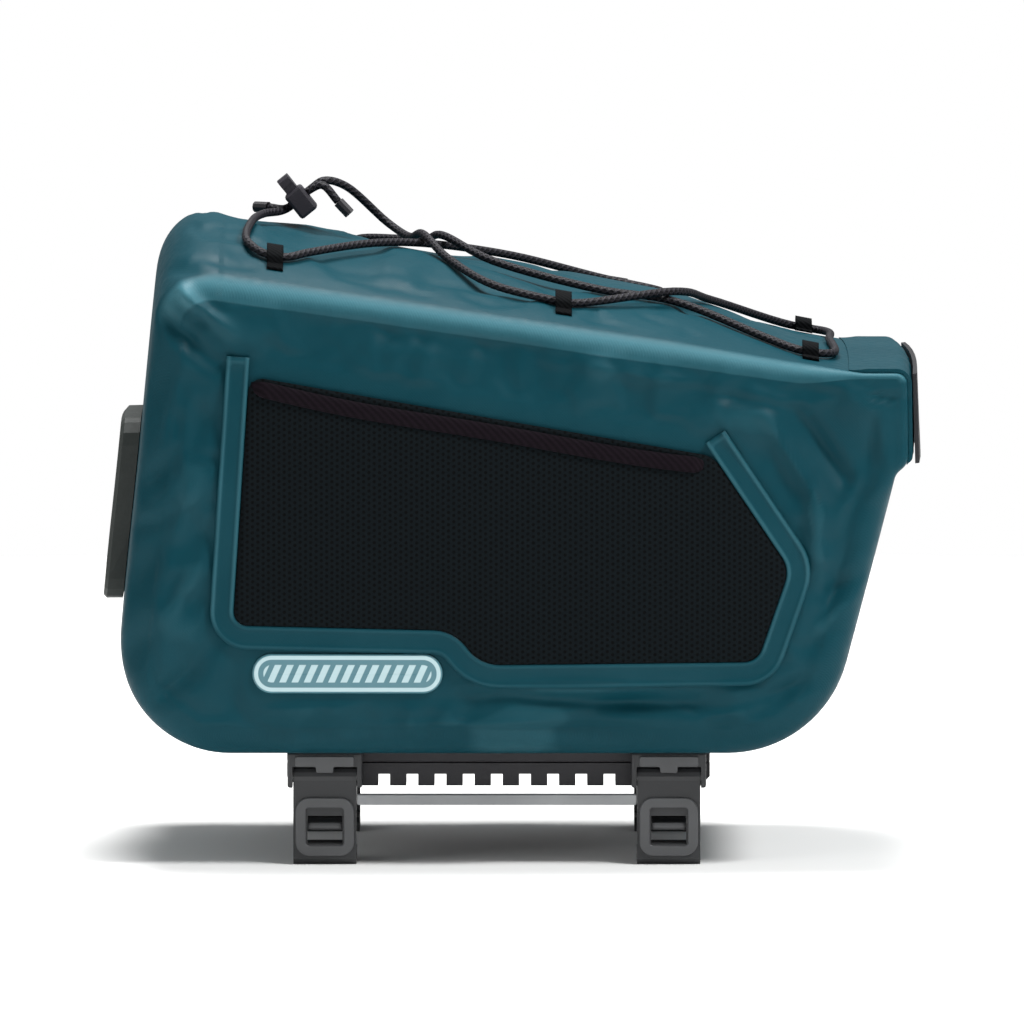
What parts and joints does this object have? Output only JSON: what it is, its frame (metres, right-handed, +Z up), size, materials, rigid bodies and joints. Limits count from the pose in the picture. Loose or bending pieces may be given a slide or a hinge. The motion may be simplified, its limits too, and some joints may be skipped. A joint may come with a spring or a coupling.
{
  "type": "bicycle trunk bag",
  "caption": "Soft bicycle trunk bag with mesh side pockets, a rolled front closure, elastic lacing on top and a clamping adapter for a rack.",
  "frame": {"origin": "on the floor under the middle of the object's box", "axes": "+X forward along the bicycle, +Y to its left, +Z up"},
  "size_m": [0.3518, 0.2072, 0.2904],
  "materials": {
    "coated_cloth": "matte coated weave",
    "pocket_mesh": "knitted mesh",
    "reflective_film": "reflective film",
    "black_strip": "satin",
    "rear_plate": "moulded",
    "grey_plastic": "moulded",
    "dark_plastic": "moulded",
    "light_grey_plastic": "moulded",
    "rubber_pad": "matte",
    "steel_pin": "drawn",
    "webbing": "woven tape",
    "elastic_cord": "braided sleeve",
    "lock_plastic": "moulded"
  },
  "bodies": {
    "bag": {"side_panel_right": "coated_cloth", "side_panel_left": "coated_cloth", "gusset": "coated_cloth", "top_panel": "coated_cloth", "roll_closure": "coated_cloth", "pocket_frame_right": "coated_cloth", "pocket_frame_left": "coated_cloth", "pocket_mesh_right": "pocket_mesh", "pocket_mesh_left": "pocket_mesh", "reflector_patch_right": "reflective_film", "reflector_patch_left": "reflective_film", "closure_strip": "black_strip", "rear_plate": "rear_plate", "adapter_plate": "grey_plastic", "rail_right": "grey_plastic", "rail_left": "grey_plastic", "clamp_block_right_rear": "grey_plastic", "clamp_block_right_front": "grey_plastic", "clamp_block_left_rear": "grey_plastic", "clamp_hook_left_rear": "dark_plastic", "jaw_pad_left_rear": "rubber_pad", "clamp_block_left_front": "grey_plastic", "clamp_hook_left_front": "dark_plastic", "jaw_pad_left_front": "rubber_pad", "hook_pin_rear": "steel_pin", "hook_pin_front": "steel_pin", "cord_loop_right_rear": "webbing", "cord_loop_right_middle": "webbing", "cord_loop_right_front": "webbing", "cord_loop_left_rear": "webbing", "cord_loop_left_middle": "webbing", "cord_loop_left_front": "webbing", "bungee_cord": "elastic_cord", "cord_end_first": "lock_plastic", "cord_end_last": "lock_plastic", "lock_barrel": "lock_plastic"},
    "latch": {"clamp_hook_right_rear": "dark_plastic", "clamp_hook_right_front": "dark_plastic", "jaw_pad_right_rear": "rubber_pad", "jaw_pad_right_front": "rubber_pad", "release_bar": "light_grey_plastic"},
    "plunger": {"lock_plunger": "lock_plastic"}
  },
  "joints": [
    {"name": "latch_hinge", "type": "hinge", "parent": "bag", "child": "latch", "pos_m": [0, -0.0743, 0.0375], "axis": [-1, 0, 0], "range_deg": [0, 28], "stiffness_Nm_per_rad": 0.06, "springref_deg": -17.19},
    {"name": "plunger_slide", "type": "slide", "parent": "bag", "child": "plunger", "axis": [0.6252, 0, -0.7804], "range_m": [0, 0.0025], "stiffness_N_per_m": 400, "springref_m": -0.0015}
  ]
}
